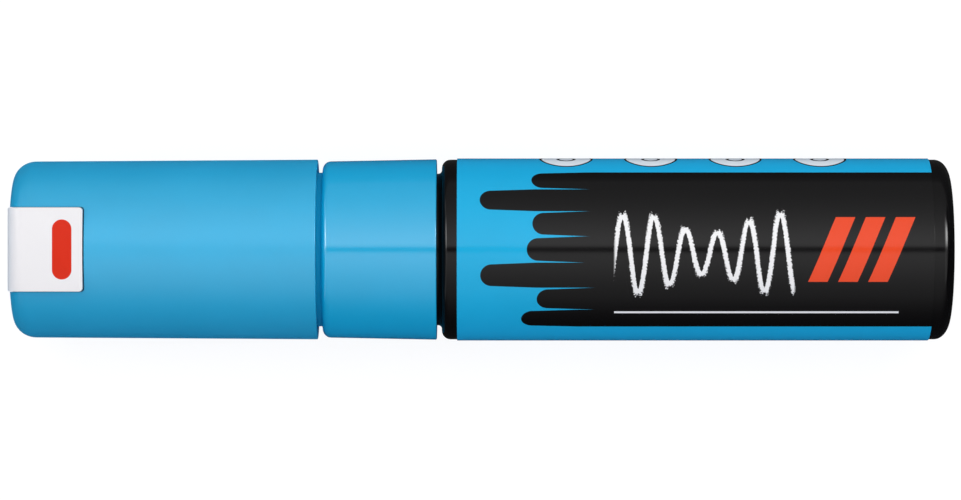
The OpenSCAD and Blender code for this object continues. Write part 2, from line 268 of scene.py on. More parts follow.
cap_plastic = moulded("cap_plastic", POLYMER_BLUE, 0.36, grain_depth=0.003, specular=0.65)
# The collar is the same plastic as the cap, but its blue is made 6 % lighter: painted light.
collar_plastic_painted_lighter = moulded("collar_plastic_painted_lighter", shade(POLYMER_BLUE, 1.06), 0.15, grain_depth=0.0005,
                         specular=0.6)
barrel_plastic = moulded("barrel_plastic", DEEP_BLACK, 0.13, cloud=0.2, grain_depth=0.0003, specular=0.15)
holder_plastic = moulded("holder_plastic", (0.80, 0.80, 0.78), 0.38)
valve_plastic = moulded("valve_plastic", (0.76, 0.75, 0.70), 0.45)
sealing_plastic = moulded("sealing_plastic", (0.72, 0.80, 0.84), 0.35, cloud=0.03)
rubber = moulded("rubber", (0.022, 0.022, 0.024), 0.6, cloud=0.15, grain=4.0, grain_depth=0.006)
print("plastic finishes:", len(bpy.data.materials))

# %% [markdown]
# ## A tree that turns a profile
# Barrel, label, collar, cap and inner cap are all turned shapes: one profile swept round the axis.
# Blender's Screw modifier and Spin tool can do that, but both leave the wrapping coordinates to be made
# afterwards. Here a Geometry Nodes tree takes the profile's points, lays a grid with one row for each
# point, and bends the grid into a closed skin. The same tree stores a UV map called wrap, in millimetres
# along and round the marker, which the label's print follows. The join runs along the underside, where a
# real label has its overlap.

# %% How a tree starts and ends


def new_tree(title, inputs):
    """An empty Geometry Nodes tree with named inputs, among them the axis' height and the material."""
    tree = bpy.data.node_groups.new(title, "GeometryNodeTree")
    for name, kind in {**inputs, "Axis Height": "Float", "Material": "Material"}.items():
        tree.interface.new_socket(name, in_out="INPUT", socket_type="NodeSocket" + kind)
    tree.interface.new_socket("Mesh", in_out="OUTPUT", socket_type="NodeSocketGeometry")
    return tree


def asked(tree):
    """The named inputs of a tree, as fields."""
    return {socket.name: Field(tree, socket) for socket in add(tree, "NodeGroupInput").outputs}


def hand_out(tree, made, given):
    """Ends a tree: copies become real geometry, and the material is set."""
    real = geo(tree, "RealizeInstances", {"Geometry": made})
    painted = geo(tree, "SetMaterial", {"Geometry": real, "Material": given["Material"]})
    add(tree, "NodeGroupOutput", {"Mesh": painted})


turning = new_tree("Turn a profile", {
    "Profile": "Geometry", "Segments": "Int", "Overlap Step": "Float", "Overlap Segments": "Float"})
print("sockets of the turning tree:", len(turning.interface.items_tree))

# %% The turning tree
JOIN = 0.0005
SHARP = 35.0


def build_turning(tree):
    given = asked(tree)
    segments, axis = given["Segments"], given["Axis Height"]
    profile = geo(tree, "AttributeDomainSize", {"Geometry": given["Profile"]})
    rings = segments + 1.0
    grid = geo(tree, "MeshGrid", {"Vertices X": profile.outputs["Point Count"], "Vertices Y": rings})
    index = Field(tree, geo(tree, "InputIndex").outputs[0])
    row = ((index + 0.5) / rings).sum("FLOOR")
    around = index - row * rings
    position = geo(tree, "InputPosition")
    sample = geo(tree, "SampleIndex", {
        "Geometry": given["Profile"], "Value": position, "Index": row}, data_type="FLOAT_VECTOR")
    along, _, radius = xyz(tree, sample.outputs["Value"])
    turn = (around / segments - 0.5) * math.tau
    beside_join = 1.0 - (around - 1.0) / given["Overlap Segments"]
    lap = beside_join.at_least(0.0) * (around > 0.5)
    reach = radius - lap * given["Overlap Step"]
    bent = vector(tree, X=along, Y=reach * turn.sum("SINE"), Z=reach * turn.sum("COSINE") + axis)
    skin = geo(tree, "SetPosition", {"Geometry": grid, "Position": bent})
    wrap = vector(tree, X=along / MM, Y=turn * axis / MM)
    at_points = geo(tree, "FieldOnDomain", {"Value": wrap}, data_type="FLOAT_VECTOR")
    named = geo(tree, "StoreNamedAttribute", {
        "Geometry": skin, "Name": "wrap", "Value": at_points}, data_type="FLOAT2", domain="CORNER")
    merged = geo(tree, "MergeByDistance", {"Geometry": named, "Distance": JOIN * MM})
    smooth = geo(tree, "SetShadeSmooth", {"Geometry": merged, "Shade Smooth": True})
    bend = Field(tree, geo(tree, "InputMeshEdgeAngle").outputs["Unsigned Angle"])
    creased = geo(tree, "SetShadeSmooth", {
        "Geometry": smooth, "Shade Smooth": bend < math.radians(SHARP)}, domain="EDGE")
    hand_out(tree, creased, given)


build_turning(turning)
print("turning tree:", len(turning.nodes), "nodes")

# %% Profiles with softened corners


def soften(corners, steps=6):
    """Points from corners (station, radius, rounding): each rounding becomes an arc of that radius."""
    points = []
    for i, corner in enumerate(corners):
        here = Vector(corner[:2])
        rounding = corner[2] if len(corner) > 2 else 0.0
        if not rounding:
            points.append(here)
            continue
        back = (Vector(corners[i - 1][:2]) - here).normalized()
        on = (Vector(corners[(i + 1) % len(corners)][:2]) - here).normalized()
        half = back.angle(on) / 2
        centre = here + (back + on).normalized() * (rounding / math.sin(half))
        spoke = here + back * (rounding / math.tan(half)) - centre
        turn = math.copysign(math.pi - 2 * half, on.x * back.y - on.y * back.x)
        points += [centre + Matrix.Rotation(turn * k / steps, 2) @ spoke for k in range(steps + 1)]
    return points


def oval(station, radius, long, deep, first, last, steps=12):
    """Points of an elliptical arc between two angles, with its half axes along and across the marker."""
    angles = [math.radians(first + (last - first) * k / steps) for k in range(steps + 1)]
    return [(station + long * math.cos(a), radius + deep * math.sin(a)) for a in angles]


def bead(station, radius, size, foot, steps):
    """Points of a half-round bead on a straight wall, with a point of the wall on either side."""
    return [(station - foot, radius), *oval(station, radius, size, size, 180, 0, steps),
            (station + foot, radius)]


print("profile helpers ready")

# %% Pieces turned from profiles


def settle(piece):
    """Turns what the modifiers make into a plain mesh, removes them, and points its faces outwards."""
    depsgraph = bpy.context.evaluated_depsgraph_get()
    made = bpy.data.meshes.new_from_object(piece.evaluated_get(depsgraph))
    piece.modifiers.clear()
    piece.data = made
    made.name = piece.name
    work = bmesh.new()
    work.from_mesh(made)
    bmesh.ops.recalc_face_normals(work, faces=work.faces)
    work.to_mesh(made)
    work.free()
    if len(made.materials) > 1 and made.materials[0] is None:
        made.materials.pop(index=0)
    return piece


def new_object(name, data):
    """An object for a mesh, a lamp or a camera, in the scene."""
    made = bpy.data.objects.new(name, data)
    bpy.context.scene.collection.objects.link(made)
    return made


def new_piece(name, points, edges, faces):
    """An object whose mesh has these points, edges and faces."""
    mesh = bpy.data.meshes.new(name)
    mesh.from_pydata(points, edges, faces)
    return new_object(name, mesh)


def grow(piece, tree, material, values):
    """Runs a tree on a piece with values for its named inputs, and keeps the mesh that it makes."""
    modifier = piece.modifiers.new(tree.name, "NODES")
    modifier.node_group = tree
    values = {**values, "Axis Height": AXIS * MM, "Material": material}
    for socket in tree.interface.items_tree:
        if socket.name in values:
            modifier[socket.identifier] = values[socket.name]
    return settle(piece)


def turned(name, corners, material, segments=192, overlap=0.0, overlap_segments=1.0):
    """A piece turned about the marker's axis from profile corners in mm."""
    points = soften(corners)
    if points[0].y > 0:
        points.append(points[0])
    piece = new_piece(name, [((TAIL - a) * MM, 0.0, r * MM) for a, r in points],
                      [(i, i + 1) for i in range(len(points) - 1)], [])
    grow(piece, turning, material, {
        "Segments": segments, "Overlap Step": overlap * MM, "Overlap Segments": overlap_segments})
    print(name, "turned from", len(points), "points,", len(piece.data.polygons), "faces")
    return piece


def dress(piece, body, slot, *nodes):
    """The finished piece rides on a body and stands for its solids."""
    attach(piece, body)
    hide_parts(*nodes)


print("turning tools ready")

# %% [markdown]
# ## The barrel
# The barrel is a black bottle: a closed tail with a rounded corner, a straight wall, a rounded shoulder and
# a neck that the blue front section snaps onto. It is turned as one closed skin, inside and outside, so
# that it is a real bottle wall. The tail carries the small round mark that a moulding gate leaves.

# %% Turn the barrel
BARREL_R = 12.15
GATE_R, GATE_DEPTH = 1.2, 0.12
TAIL_LONG, TAIL_DEEP = 2.0, 2.7
TAIL_WALL = 2.4
SHOULDER = 68.5
CHAMBER_R, CHAMBER_END = 10.55, 66.4
NECK_R, NECK_BORE_R = 10.25, 8.7
NECK_BEAD = 74.33
NECK_END = ahead_of_tail("barrel")[1]

barrel_profile = [
    (GATE_DEPTH, 0.0), (GATE_DEPTH, GATE_R - 0.3, 0.2), (0.0, GATE_R, 0.3),
    *oval(TAIL_LONG, BARREL_R - TAIL_DEEP, TAIL_LONG, TAIL_DEEP, 180, 90),
    (SHOULDER, BARREL_R, 1.15), (SHOULDER, NECK_R, 0.5), *bead(NECK_BEAD, NECK_R, 0.3, 0.4, 8),
    (NECK_END, NECK_R, 0.2), (NECK_END, NECK_BORE_R, 0.2), (SHOULDER - 0.5, NECK_BORE_R, 0.4),
    (CHAMBER_END, CHAMBER_R, 0.4), (TAIL_WALL, CHAMBER_R, 1.9), (TAIL_WALL, 0.0),
]
barrel = turned("barrel_bottle", barrel_profile, barrel_plastic)
dress(barrel, "barrel_unit", "barrel_black", "barrel")

# %% [markdown]
# ## The label's print
# The label is a printed film. Its print is a flat drawing, so it is drawn with formulas on the wrap map, in
# millimetres: a field with round-ended fingers, a chalky wave, a few bars and a row of discs. A bitmap
# would blur close up, while formulas stay sharp at any distance. The chalk's grain is noise that breaks up
# its stroke. Here s runs along the label from its front edge, and t runs round it from the top.

# %% A black field with fingers
LABEL_REAR, LABEL_FRONT = ahead_of_tail("label_sleeve")
CRISP = 0.04
FINGER_STEP, FINGER_HALF, FINGER_ROWS = 3.5, 1.45, 7
FINGER_FROM, FINGER_SWING, FINGER_TURN, FINGER_PHASE = 7.5, 4.5, 2.15, 0.4
FINGER_NOSE, FINGER_SPREAD, FINGER_SPREAD_MOST = 1.5, 0.04, 0.4

label_film, ink, film_shader = new_finish("label_film", Specular_IOR_Level=0.17)
flat = add(ink, "ShaderNodeUVMap", uv_map="wrap").outputs["UV"]
along, t, _ = xyz(ink, flat)
s = along - (TAIL - LABEL_FRONT)


def within(field, low, high, blur=CRISP):
    """1 where a field lies between two levels."""
    return field.past(low, blur) * (1.0 - field.past(high, blur))


finger_row = (t / FINGER_STEP + 0.5).sum("FLOOR")
finger_off = t - finger_row * FINGER_STEP
finger_start = (finger_row * FINGER_TURN + FINGER_PHASE).sum("SINE") * FINGER_SWING + FINGER_FROM
finger_spread = ((s - finger_start) * FINGER_SPREAD).at_least(0.0).at_most(FINGER_SPREAD_MOST)
finger_nose = (finger_start + FINGER_NOSE - s).at_least(0.0)
finger_reach = (finger_nose * finger_nose + finger_off * finger_off).sum("SQRT")
finger_gap = finger_reach - (finger_spread + FINGER_HALF)
black_field = (1.0 - finger_gap.past(0.0, CRISP)) * (abs(finger_row) < FINGER_ROWS / 2)
print("label", round(LABEL_FRONT - LABEL_REAR, 1), "mm long, with", FINGER_ROWS, "fingers")

# %% A chalk wave, leaning bars, a rule and discs
WAVE_FROM, WAVE_TO, WAVE_STEP = 21.0, 45.0, 4.2
WAVE_SIZE, WAVE_SWELL, WAVE_SWELL_RATE, WAVE_LOW = 3.9, 1.3, 0.33, 0.6
CHALK_HALF, CHALK_BLUR, CHALK_END_BLUR, CHALK_CRUMBLE = 0.32, 0.12, 0.3, 0.7
BARS_FROM, BAR_COUNT, BAR_STEP, BAR_LEAN, BAR_HALF = 48.0, 3, 4.0, 0.42, 4.4
BAR_FROM, BAR_TO = 0.6, 3.2
RULE_LOW, RULE_HIGH, RULE_TO = -9.4, -9.05, 59.0
DISC_FROM, DISC_COUNT, DISC_STEP, DISC_AROUND = 9.0, 4, 11.4, 17.4
DISC_R, DISC_FACE_R, EYE_IN_R, EYE_OUT_R = 3.6, 3.3, 0.9, 1.3

wave_phase = (s - WAVE_FROM) * (math.tau / WAVE_STEP)
wave_size = (s * WAVE_SWELL_RATE).sum("SINE") * WAVE_SWELL + WAVE_SIZE
wave_off = abs(t - wave_phase.sum("SINE") * wave_size + WAVE_LOW)
wave_steep = wave_phase.sum("COSINE") * wave_size * (math.tau / WAVE_STEP)
wave_gap = wave_off / (wave_steep * wave_steep + 1.0).sum("SQRT")
crumbs = (noise(ink, flat, 4.0, detail=3.0, seed=5.0, unit=1.0) - 0.5) * CHALK_CRUMBLE
stroke = 1.0 - (wave_gap + crumbs).past(CHALK_HALF, CHALK_BLUR)
chalk = stroke * within(s, WAVE_FROM, WAVE_TO, CHALK_END_BLUR)

bar_lean = s - t * BAR_LEAN - BARS_FROM
bar_at = bar_lean.sum("FLOORED_MODULO", BAR_STEP)
bars_run = within(bar_lean, 0.0, BAR_COUNT * BAR_STEP) * within(t, -BAR_HALF, BAR_HALF)
red_bars = within(bar_at, BAR_FROM, BAR_TO) * bars_run
white_rule = within(t, RULE_LOW, RULE_HIGH) * within(s, WAVE_FROM, RULE_TO)

disc_along = s - DISC_FROM
disc_s = disc_along.sum("FLOORED_MODULO", DISC_STEP) - DISC_STEP / 2
disc_t = t - DISC_AROUND
disc_r = (disc_s * disc_s + disc_t * disc_t).sum("SQRT")
in_row = within(disc_along, 0.0, DISC_COUNT * DISC_STEP)
disc_rim = (1.0 - disc_r.past(DISC_R, CRISP)) * in_row
disc_face = (1.0 - disc_r.past(DISC_FACE_R, CRISP)) * in_row
disc_eye = within(disc_r, EYE_IN_R, EYE_OUT_R) * in_row
print("wave of", round((WAVE_TO - WAVE_FROM) / WAVE_STEP, 1), "turns,", DISC_COUNT, "discs")

# %% Lay the inks on the film
PRINT_BLUE = (0.010, 0.405, 0.700, 1.0)
PRINT_BLACK = (*DEEP_BLACK, 1.0)
PRINT_RED = (0.79, 0.066, 0.018, 1.0)
PRINT_WHITE = (0.86, 0.86, 0.86, 1.0)
RIPPLE_DEPTH = 0.001

tone = noise(ink, flat, 0.1, detail=3.0, seed=3.0, unit=1.0)
print_colour = blend_colours(ink, tone, shade(PRINT_BLUE, 0.95), shade(PRINT_BLUE, 1.05))
for share, colour in ((black_field, PRINT_BLACK), (chalk, PRINT_WHITE), (red_bars, PRINT_RED),
                      (white_rule, PRINT_WHITE), (disc_rim, PRINT_BLACK), (disc_face, PRINT_WHITE),
                      (disc_eye, PRINT_BLACK)):
    print_colour = blend_colours(ink, share, print_colour, colour)
ripple = noise(ink, flat, 0.6, detail=1.0, seed=4.0, unit=1.0)
coat(ink, film_shader, print_colour, tone * 0.05 + 0.12, ripple, RIPPLE_DEPTH)
print("label's print:", len(ink.nodes), "nodes")

# %% [markdown]
# ## The label sleeve
# The film is wrapped once round the barrel and laps over itself along the underside. The turning tree has
# an input for that lap, which lowers the film beside the join by a few hundredths of a millimetre, and the
# film stays a closed thin tube. The marker lies on its label, so the label's radius is the height of the
# axis.

# %% Wrap the label
LABEL_R = AXIS
FILM_INNER_R = 12.21
FILM_EDGE = 0.03
LAP_STEP, LAP_SEGMENTS = 0.05, 14.0

label_profile = [
    (LABEL_REAR, FILM_INNER_R), (LABEL_REAR, LABEL_R, FILM_EDGE), (LABEL_FRONT, LABEL_R, FILM_EDGE),
    (LABEL_FRONT, FILM_INNER_R),
]
label = turned("label_film_wrap", label_profile, label_film, segments=256, overlap=LAP_STEP,
               overlap_segments=LAP_SEGMENTS)
dress(label, "barrel_unit", "label_print", "label_sleeve")

# %% [markdown]
# ## The front section
# The blue front section is one moulding: the tapered collar that the fingers hold, the seat that the cap
# slides on with its two snap beads, and the nose that guides the nib. Its edges are a little softer than
# the solid's, so that they catch the light.

# %% Turn the front section
COLLAR_REAR, NOSE_TIP = ahead_of_tail("grip_section")
COLLAR_FRONT = 84.58
COLLAR_REAR_R, COLLAR_FRONT_R = 12.2, 11.9
SOCKET_R, SOCKET_END = 10.28, 81.68
SEAT_R, SEAT_END = 10.39, 92.08
SEAT_BEADS = (87.155, 89.03)
NOSE_R, NOSE_REAR, NOSE_FRONT = 7.4, 94.58, 101.08
GUIDE_R, FLANGE_ROOM_R, FLANGE_ROOM_END = 5.5, 6.2, 86.94
HOLLOW_R, HOLLOW_OUT_R, HOLLOW_END = 7.1, 8.99, 90.68

front_profile = [
    (COLLAR_REAR, SOCKET_R), (COLLAR_REAR, COLLAR_REAR_R, 0.2),
    (COLLAR_FRONT, COLLAR_FRONT_R, 1.1), (COLLAR_FRONT, SEAT_R, 0.15),
    *[point for station in SEAT_BEADS for point in bead(station, SEAT_R, 0.075, 0.11, 6)],
    (SEAT_END, SEAT_R, 0.3), (NOSE_REAR, NOSE_R, 0.5), (NOSE_FRONT, NOSE_R, 0.6),
    (NOSE_TIP, 6.4, 0.25), (NOSE_TIP, GUIDE_R, 0.15), (FLANGE_ROOM_END, GUIDE_R),
    (FLANGE_ROOM_END, FLANGE_ROOM_R), (SOCKET_END, FLANGE_ROOM_R), (SOCKET_END, HOLLOW_R),
    (HOLLOW_END, HOLLOW_R), (HOLLOW_END, HOLLOW_OUT_R), (SOCKET_END, HOLLOW_OUT_R), (SOCKET_END, SOCKET_R),
]
front = turned("front_section", front_profile, collar_plastic_painted_lighter)
dress(front, "barrel_unit", "grip_blue", "grip_section")

# %% [markdown]
# ## Two finishes on one moulding
# The collar is polished, but the seat under the cap and the nose are left satin, which keeps the narrow gap
# at the cap's mouth a deep blue. It stays one piece: the mesh gets a second material slot, and the faces
# ahead of the collar take it.

# %% Leave the seat and the nose satin
seat_plastic = moulded("seat_plastic", POLYMER_BLUE, 0.6, grain_depth=0.003, specular=0.1)
front.data.materials.append(seat_plastic)
satin_from = place(COLLAR_FRONT + 0.01).x
satin_faces = [face for face in front.data.polygons if face.center.x < satin_from]
for face in satin_faces:
    face.material_index = 1
print("satin faces on the front section:", len(satin_faces), "of", len(front.data.polygons))

# %% [markdown]
# ## The white tab
# A white strip lies flat in the top of the cap, folds over its end and is held by a peg. Three extruded
# outlines, seen from the side, from the end and from above, have just this strip in common, so a Boolean
# keeps what they share. The same outlines, grown by a gap that is narrower at the sides, cut the pocket in
# the cap. Points that almost meet after a Boolean are merged.

# %% Solids from outlines
SLIVER = 0.003


def prism(name, outline, way):
    """A closed solid from an outline of scene points, pushed along a vector."""
    work = bmesh.new()
    base = work.faces.new([work.verts.new(point) for point in outline])
    pushed = bmesh.ops.extrude_face_region(work, geom=[base], use_keep_orig=True)["geom"]
    moved = [part for part in pushed if isinstance(part, bmesh.types.BMVert)]
    bmesh.ops.translate(work, verts=moved, vec=way)
    bmesh.ops.recalc_face_normals(work, faces=work.faces)
    mesh = bpy.data.meshes.new(name)
    work.to_mesh(mesh)
    work.free()
    return new_object(name, mesh)


def bar(name, section, start, end):
    """A prism with a section across the marker, from one station to another."""
    return prism(name, [place(start, y, z) for y, z in section], place(end) - place(start))


def in_order(mesh):
    """Numbers points and faces by their place, because a Boolean numbers them differently each run."""
    points = [tuple(point.co) for point in mesh.vertices]
    order = sorted(range(len(points)), key=points.__getitem__)
    rank = {old: new for new, old in enumerate(order)}
    loops = [[rank[i] for i in face.vertices] for face in mesh.polygons]
    starts = [loop.index(min(loop)) for loop in loops]
    mesh.clear_geometry()
    mesh.from_pydata([points[i] for i in order], [],
                     sorted(loop[k:] + loop[:k] for loop, k in zip(loops, starts)))


def combine(piece, operation, *tools):
    """Joins, cuts or keeps the overlap of a piece and each tool, which is deleted, and merges slivers."""
    for tool in tools:
        modifier = piece.modifiers.new(operation, "BOOLEAN")
        modifier.operation, modifier.solver, modifier.object = operation, "EXACT", tool
        settle(piece)
        in_order(piece.data)
        bpy.data.objects.remove(tool)
    work = bmesh.new()
    work.from_mesh(piece.data)
    bmesh.ops.remove_doubles(work, verts=work.verts, dist=SLIVER * MM)
    bmesh.ops.dissolve_degenerate(work, edges=work.edges, dist=SLIVER * MM)
    work.to_mesh(piece.data)
    work.free()
    return piece


print("outline helpers ready")

# %% Make the strip from three outlines
CAP_END = ahead_of_tail("cap_shell")[1]
TAB_FROM, STRIP_END = ahead_of_tail("cap_end_insert")
TAB_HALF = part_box("cap_end_insert")[1].y / MM
TAB_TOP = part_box("cap_end_insert")[1].z / MM - AXIS
TAB_THICK = 2.4
TAB_UNDER = TAB_TOP - TAB_THICK
TAB_CORNER, STRAP_CORNER = 0.5, 0.3
FOLD_R = 2.3
STRAP_SEAT = 124.98
FLAT_END_R = 9.2
SIDE_SHARE = 0.4
PAST = 2.0


def strip(name, gap):
    """The folded strip without its peg, grown by a gap, of which the sides get a share."""
    start, end = TAB_FROM - gap, STRIP_END + gap
    top, low = TAB_TOP + gap, -FLAT_END_R - gap
    half = TAB_HALF + gap * SIDE_SHARE
    fold = oval(end - FOLD_R, top - FOLD_R, FOLD_R, FOLD_R, 90, 0, 16)
    side = [(STRAP_SEAT, low), (STRAP_SEAT, TAB_UNDER), (start, TAB_UNDER), (start, top), *fold, (end, low)]
    tongue = oval(0.0, TAB_HALF - FLAT_END_R, half, half, -180, 0, 30)
    plan = soften([(start, -half, TAB_CORNER), (end, -half, STRAP_CORNER), (end, half, STRAP_CORNER),
                   (start, half, TAB_CORNER)])
    from_side = prism(name, [place(a, -2 * half, r) for a, r in side], Vector((0, 4 * half * MM, 0)))
    from_end = bar(name + "_end", [*tongue, (half, top + PAST), (-half, top + PAST)],
                   TAB_FROM - PAST, STRIP_END + PAST)
    from_above = prism(name + "_plan", [place(a, y, low - PAST) for a, y in plan],
                       Vector((0, 0, (top - low + 2 * PAST) * MM)))
    return combine(from_side, "INTERSECT", from_end, from_above)


tab = strip("white_tab", 0.0)
print("strip:", len(tab.data.polygons), "faces")

# %% [markdown]
# ## The tab's finish
# The tab is white plastic with one plain printed mark. A pill shape is the distance to a short line, so a
# few Math nodes in Object coordinates draw it on the tab's flat face, and the rest stays white.

# %% White plastic with a printed pill
MARK_RED = (0.64, 0.02, 0.002, 1.0)
MARK_AT = place(119.0, 0.0, TAB_TOP - 0.5)
MARK_HALF, MARK_R = 2.7, 1.3

tab_plastic = moulded("tab_plastic", (0.825, 0.815, 0.825), 0.36, cloud=0.012, specular=0.15)
tab_tree = tab_plastic.node_tree
tab_colour = tab_tree.nodes["Principled BSDF"].inputs["Base Color"]
mark_x, mark_y, mark_z = xyz(tab_tree, on_object(tab_tree))
mark_along = (mark_x - MARK_AT.x) / MM
mark_across = (abs(mark_y / MM) - MARK_HALF).at_least(0.0)
mark_gap = (mark_along * mark_along + mark_across * mark_across).sum("SQRT")
mark = (1.0 - mark_gap.past(MARK_R, CRISP)) * (mark_z > MARK_AT.z)
plain_white = tab_colour.links[0].from_socket
plug(tab_tree, tab_colour, blend_colours(tab_tree, mark, plain_white, MARK_RED))
print("tab finish:", len(tab_tree.nodes), "nodes")

# %% Bevel the strip and add its peg
CAP_FLOOR = 123.28
PEG_R = 2.0
PEG_END = STRAP_SEAT + 0.6
TAB_BEVEL = 0.22


def set_finish(piece, material, sharp=SHARP):
    """One material on the whole piece, smooth shading and sharp edges where the surface turns."""
    piece.data.materials.clear()
    piece.data.materials.append(material)
    piece.data.shade_smooth()
    piece.data.set_sharp_from_angle(angle=math.radians(sharp))


def bevel(piece, width, over=SHARP):
    """Rounds the edges of a piece that turn by more than an angle."""
    modifier = piece.modifiers.new("Bevel", "BEVEL")
    modifier.width, modifier.segments = width * MM, 3
    modifier.limit_method, modifier.angle_limit = "ANGLE", math.radians(over)
    return settle(piece)


bevel(tab, TAB_BEVEL)
peg_profile = [(CAP_FLOOR, 0.0), (CAP_FLOOR, PEG_R, 0.2), (PEG_END, PEG_R), (PEG_END, 0.0)]
combine(tab, "UNION", turned("tab_peg", peg_profile, tab_plastic, segments=48))
set_finish(tab, tab_plastic)
dress(tab, "cap", "tab_white", "cap_end_insert")
print("tab with its peg:", len(tab.data.polygons), "faces")

# %% [markdown]
# ## The cap's ribs
# Inside the cap, thin ribs stand round the inner cap and hold it in the middle. They repeat round the axis,
# so a Geometry Nodes tree makes them: it gives one rib outline its thickness, and sets a copy of it on each
# of a ring of points. The copies are made real before the Boolean joins them to the wall.

# %% The rib tree
ribbing = new_tree("Ring of ribs", {"Outline": "Geometry", "Ribs": "Int", "Thickness": "Float"})


def build_ribbing(tree):
    given = asked(tree)
    thickness = given["Thickness"]
    start = vector(tree, Y=thickness * -0.5)
    near = geo(tree, "SetPosition", {"Geometry": given["Outline"], "Offset": start})
    push = vector(tree, Y=thickness)
    far = geo(tree, "ExtrudeMesh", {"Mesh": near, "Offset": push, "Offset Scale": 1.0, "Individual": False})
    shut = geo(tree, "FlipFaces", {"Mesh": near})
    both = geo(tree, "JoinGeometry")
    for part in (far, shut):
        plug(tree, both.inputs[0], part)
    rib = geo(tree, "MergeByDistance", {"Geometry": both, "Distance": JOIN * MM})
    index = Field(tree, geo(tree, "InputIndex").outputs[0])
    lean = vector(tree, X=(index + 0.5) / given["Ribs"] * math.tau)
    centre = vector(tree, Z=given["Axis Height"])
    ring = geo(tree, "Points", {"Count": given["Ribs"], "Position": centre})
    copies = geo(tree, "InstanceOnPoints", {"Points": ring, "Instance": rib, "Rotation": lean})
    hand_out(tree, copies, given)


build_ribbing(ribbing)
print("rib tree:", len(ribbing.nodes), "nodes")

# %% Set the ribs in a ring
CORE_R = 8.33
CORE = TAB_FROM - 2.4
CAP_BORE_R = 10.54
RIB_FROM = 98.08
RIB_LEAD = 0.9
RIB_COUNT = 8
RIB_THICKNESS = 1.0

rib_outline = [
    (RIB_FROM, CAP_BORE_R + 0.4), (RIB_FROM, CAP_BORE_R - RIB_LEAD), (RIB_FROM + RIB_LEAD, CORE_R),
    (CORE + 0.5, CORE_R), (CORE + 0.5, CAP_BORE_R + 0.4),
]
rib_points = [((TAIL - a) * MM, 0.0, r * MM) for a, r in rib_outline]
ribs = new_piece("cap_ribs", rib_points, [], [range(len(rib_points))])
grow(ribs, ribbing, cap_plastic, {"Ribs": RIB_COUNT, "Thickness": RIB_THICKNESS * MM})
print("ribs:", RIB_COUNT, "with", len(ribs.data.polygons), "faces together")

# %% [markdown]
# ## The cap
# The cap is a blue cup with a slight taper and a generous rounding at its closed end. It is turned like the
# barrel, the ribs are joined to its wall, and the grown strip and the peg's hole are cut out of its end.

# %% Turn the cap and cut its pocket
CAP_MOUTH = ahead_of_tail("cap_shell")[0]
CAP_MOUTH_R = 12.15
CAP_ROUND_LONG, CAP_ROUND_DEEP = 3.0, 2.7
TAB_GAP = 0.2
HOLE_R = PEG_R + 0.03
HOLE_FROM, HOLE_TO = CAP_FLOOR - PAST, CAP_END + PAST

cap_profile = [
    (CAP_FLOOR, 0.0), (CAP_FLOOR, CORE_R), (CORE, CORE_R), (CORE - CAP_BORE_R + CORE_R, CAP_BORE_R),
    (CAP_MOUTH, CAP_BORE_R, 0.25), (CAP_MOUTH, CAP_MOUTH_R, 0.1),
    *oval(CAP_END - CAP_ROUND_LONG, FLAT_END_R, CAP_ROUND_LONG, CAP_ROUND_DEEP, 90, 0, 18), (CAP_END, 0.0),
]
hole_profile = [(HOLE_FROM, 0.0), (HOLE_FROM, HOLE_R), (HOLE_TO, HOLE_R), (HOLE_TO, 0.0)]
cap = turned("cap_cup", cap_profile, cap_plastic)
hole = turned("peg_hole", hole_profile, cap_plastic, segments=48)
combine(cap, "UNION", ribs)
combine(cap, "DIFFERENCE", strip("pocket", TAB_GAP), hole)
set_finish(cap, cap_plastic)
dress(cap, "cap", "cap_blue", "cap_shell")
print("cap:", len(cap.data.polygons), "faces")

# %% [markdown]
# ## The inner cap
# A soft cup inside the cap seals over the nose, so that the nib doesn't dry. It is milky polyethylene,
# turned in one piece with a lip at its mouth.

# %% Turn the inner cap
LIP, INNER_END = ahead_of_tail("inner_cap")
LIP_END = LIP + 0.8
INNER_FLOOR = INNER_END - 0.9
SEAL_R, CUP_R, LIP_R = 7.5, 8.3, 9.3

inner_profile = [
    (INNER_FLOOR, 0.0), (INNER_FLOOR, SEAL_R, 0.5), (LIP, SEAL_R, 0.15), (LIP, LIP_R, 0.25),
    (LIP_END, LIP_R, 0.25), (LIP_END, CUP_R, 0.2), (INNER_END, CUP_R, 0.3), (INNER_END, 0.0),
]
inner_cap = turned("inner_cap_cup", inner_profile, sealing_plastic)
dress(inner_cap, "cap", "inner_cap_clear", "inner_cap")

# %% [markdown]
# ## The nib and its holder
# The nib is a block of bonded fibre, cut on a slant to a chisel edge, and the white holder carries it
# through the nose. The block is an extruded rounded outline whose front points slide back along the slant,
# and a bevel gives the writing edge the small rounding that it has after its first strokes. The holder is
# turned, and the nib's outline cuts its socket.

# %% A fibre finish
NIB_REAR, NIB_TIP = ahead_of_tail("nib")
WET_FROM, WET_LEN = NIB_TIP - 8.0, 9.0
STRAND_STRETCH = 0.06
FUZZ_DEPTH = 0.05

nib_fibre, fibre_tree, fibre_shader = new_finish("nib_fibre", Specular_IOR_Level=0.2)
fibre_spot = on_object(fibre_tree)
drawn_out = add(fibre_tree, "ShaderNodeMapping", {
    "Vector": fibre_spot, "Scale": (STRAND_STRETCH, 1.0, 1.0)})
strands = noise(fibre_tree, drawn_out, 5.0, detail=3.0, seed=6.0)
soak = noise(fibre_tree, fibre_spot, 0.25, detail=3.0, seed=7.0)
fibre_x = xyz(fibre_tree, fibre_spot)[0]
wet = ((place(WET_FROM).x - fibre_x) / (WET_LEN * MM) + soak * 0.5).sum("MULTIPLY", 1.0, clamp=True)
dry_colour = blend_colours(fibre_tree, strands, (0.40, 0.58, 0.68, 1.0), (0.66, 0.78, 0.84, 1.0))
wet_colour = blend_colours(fibre_tree, strands, (0.02, 0.27, 0.50, 1.0), (0.06, 0.42, 0.68, 1.0))
stain = blend_colours(fibre_tree, wet, dry_colour, wet_colour)
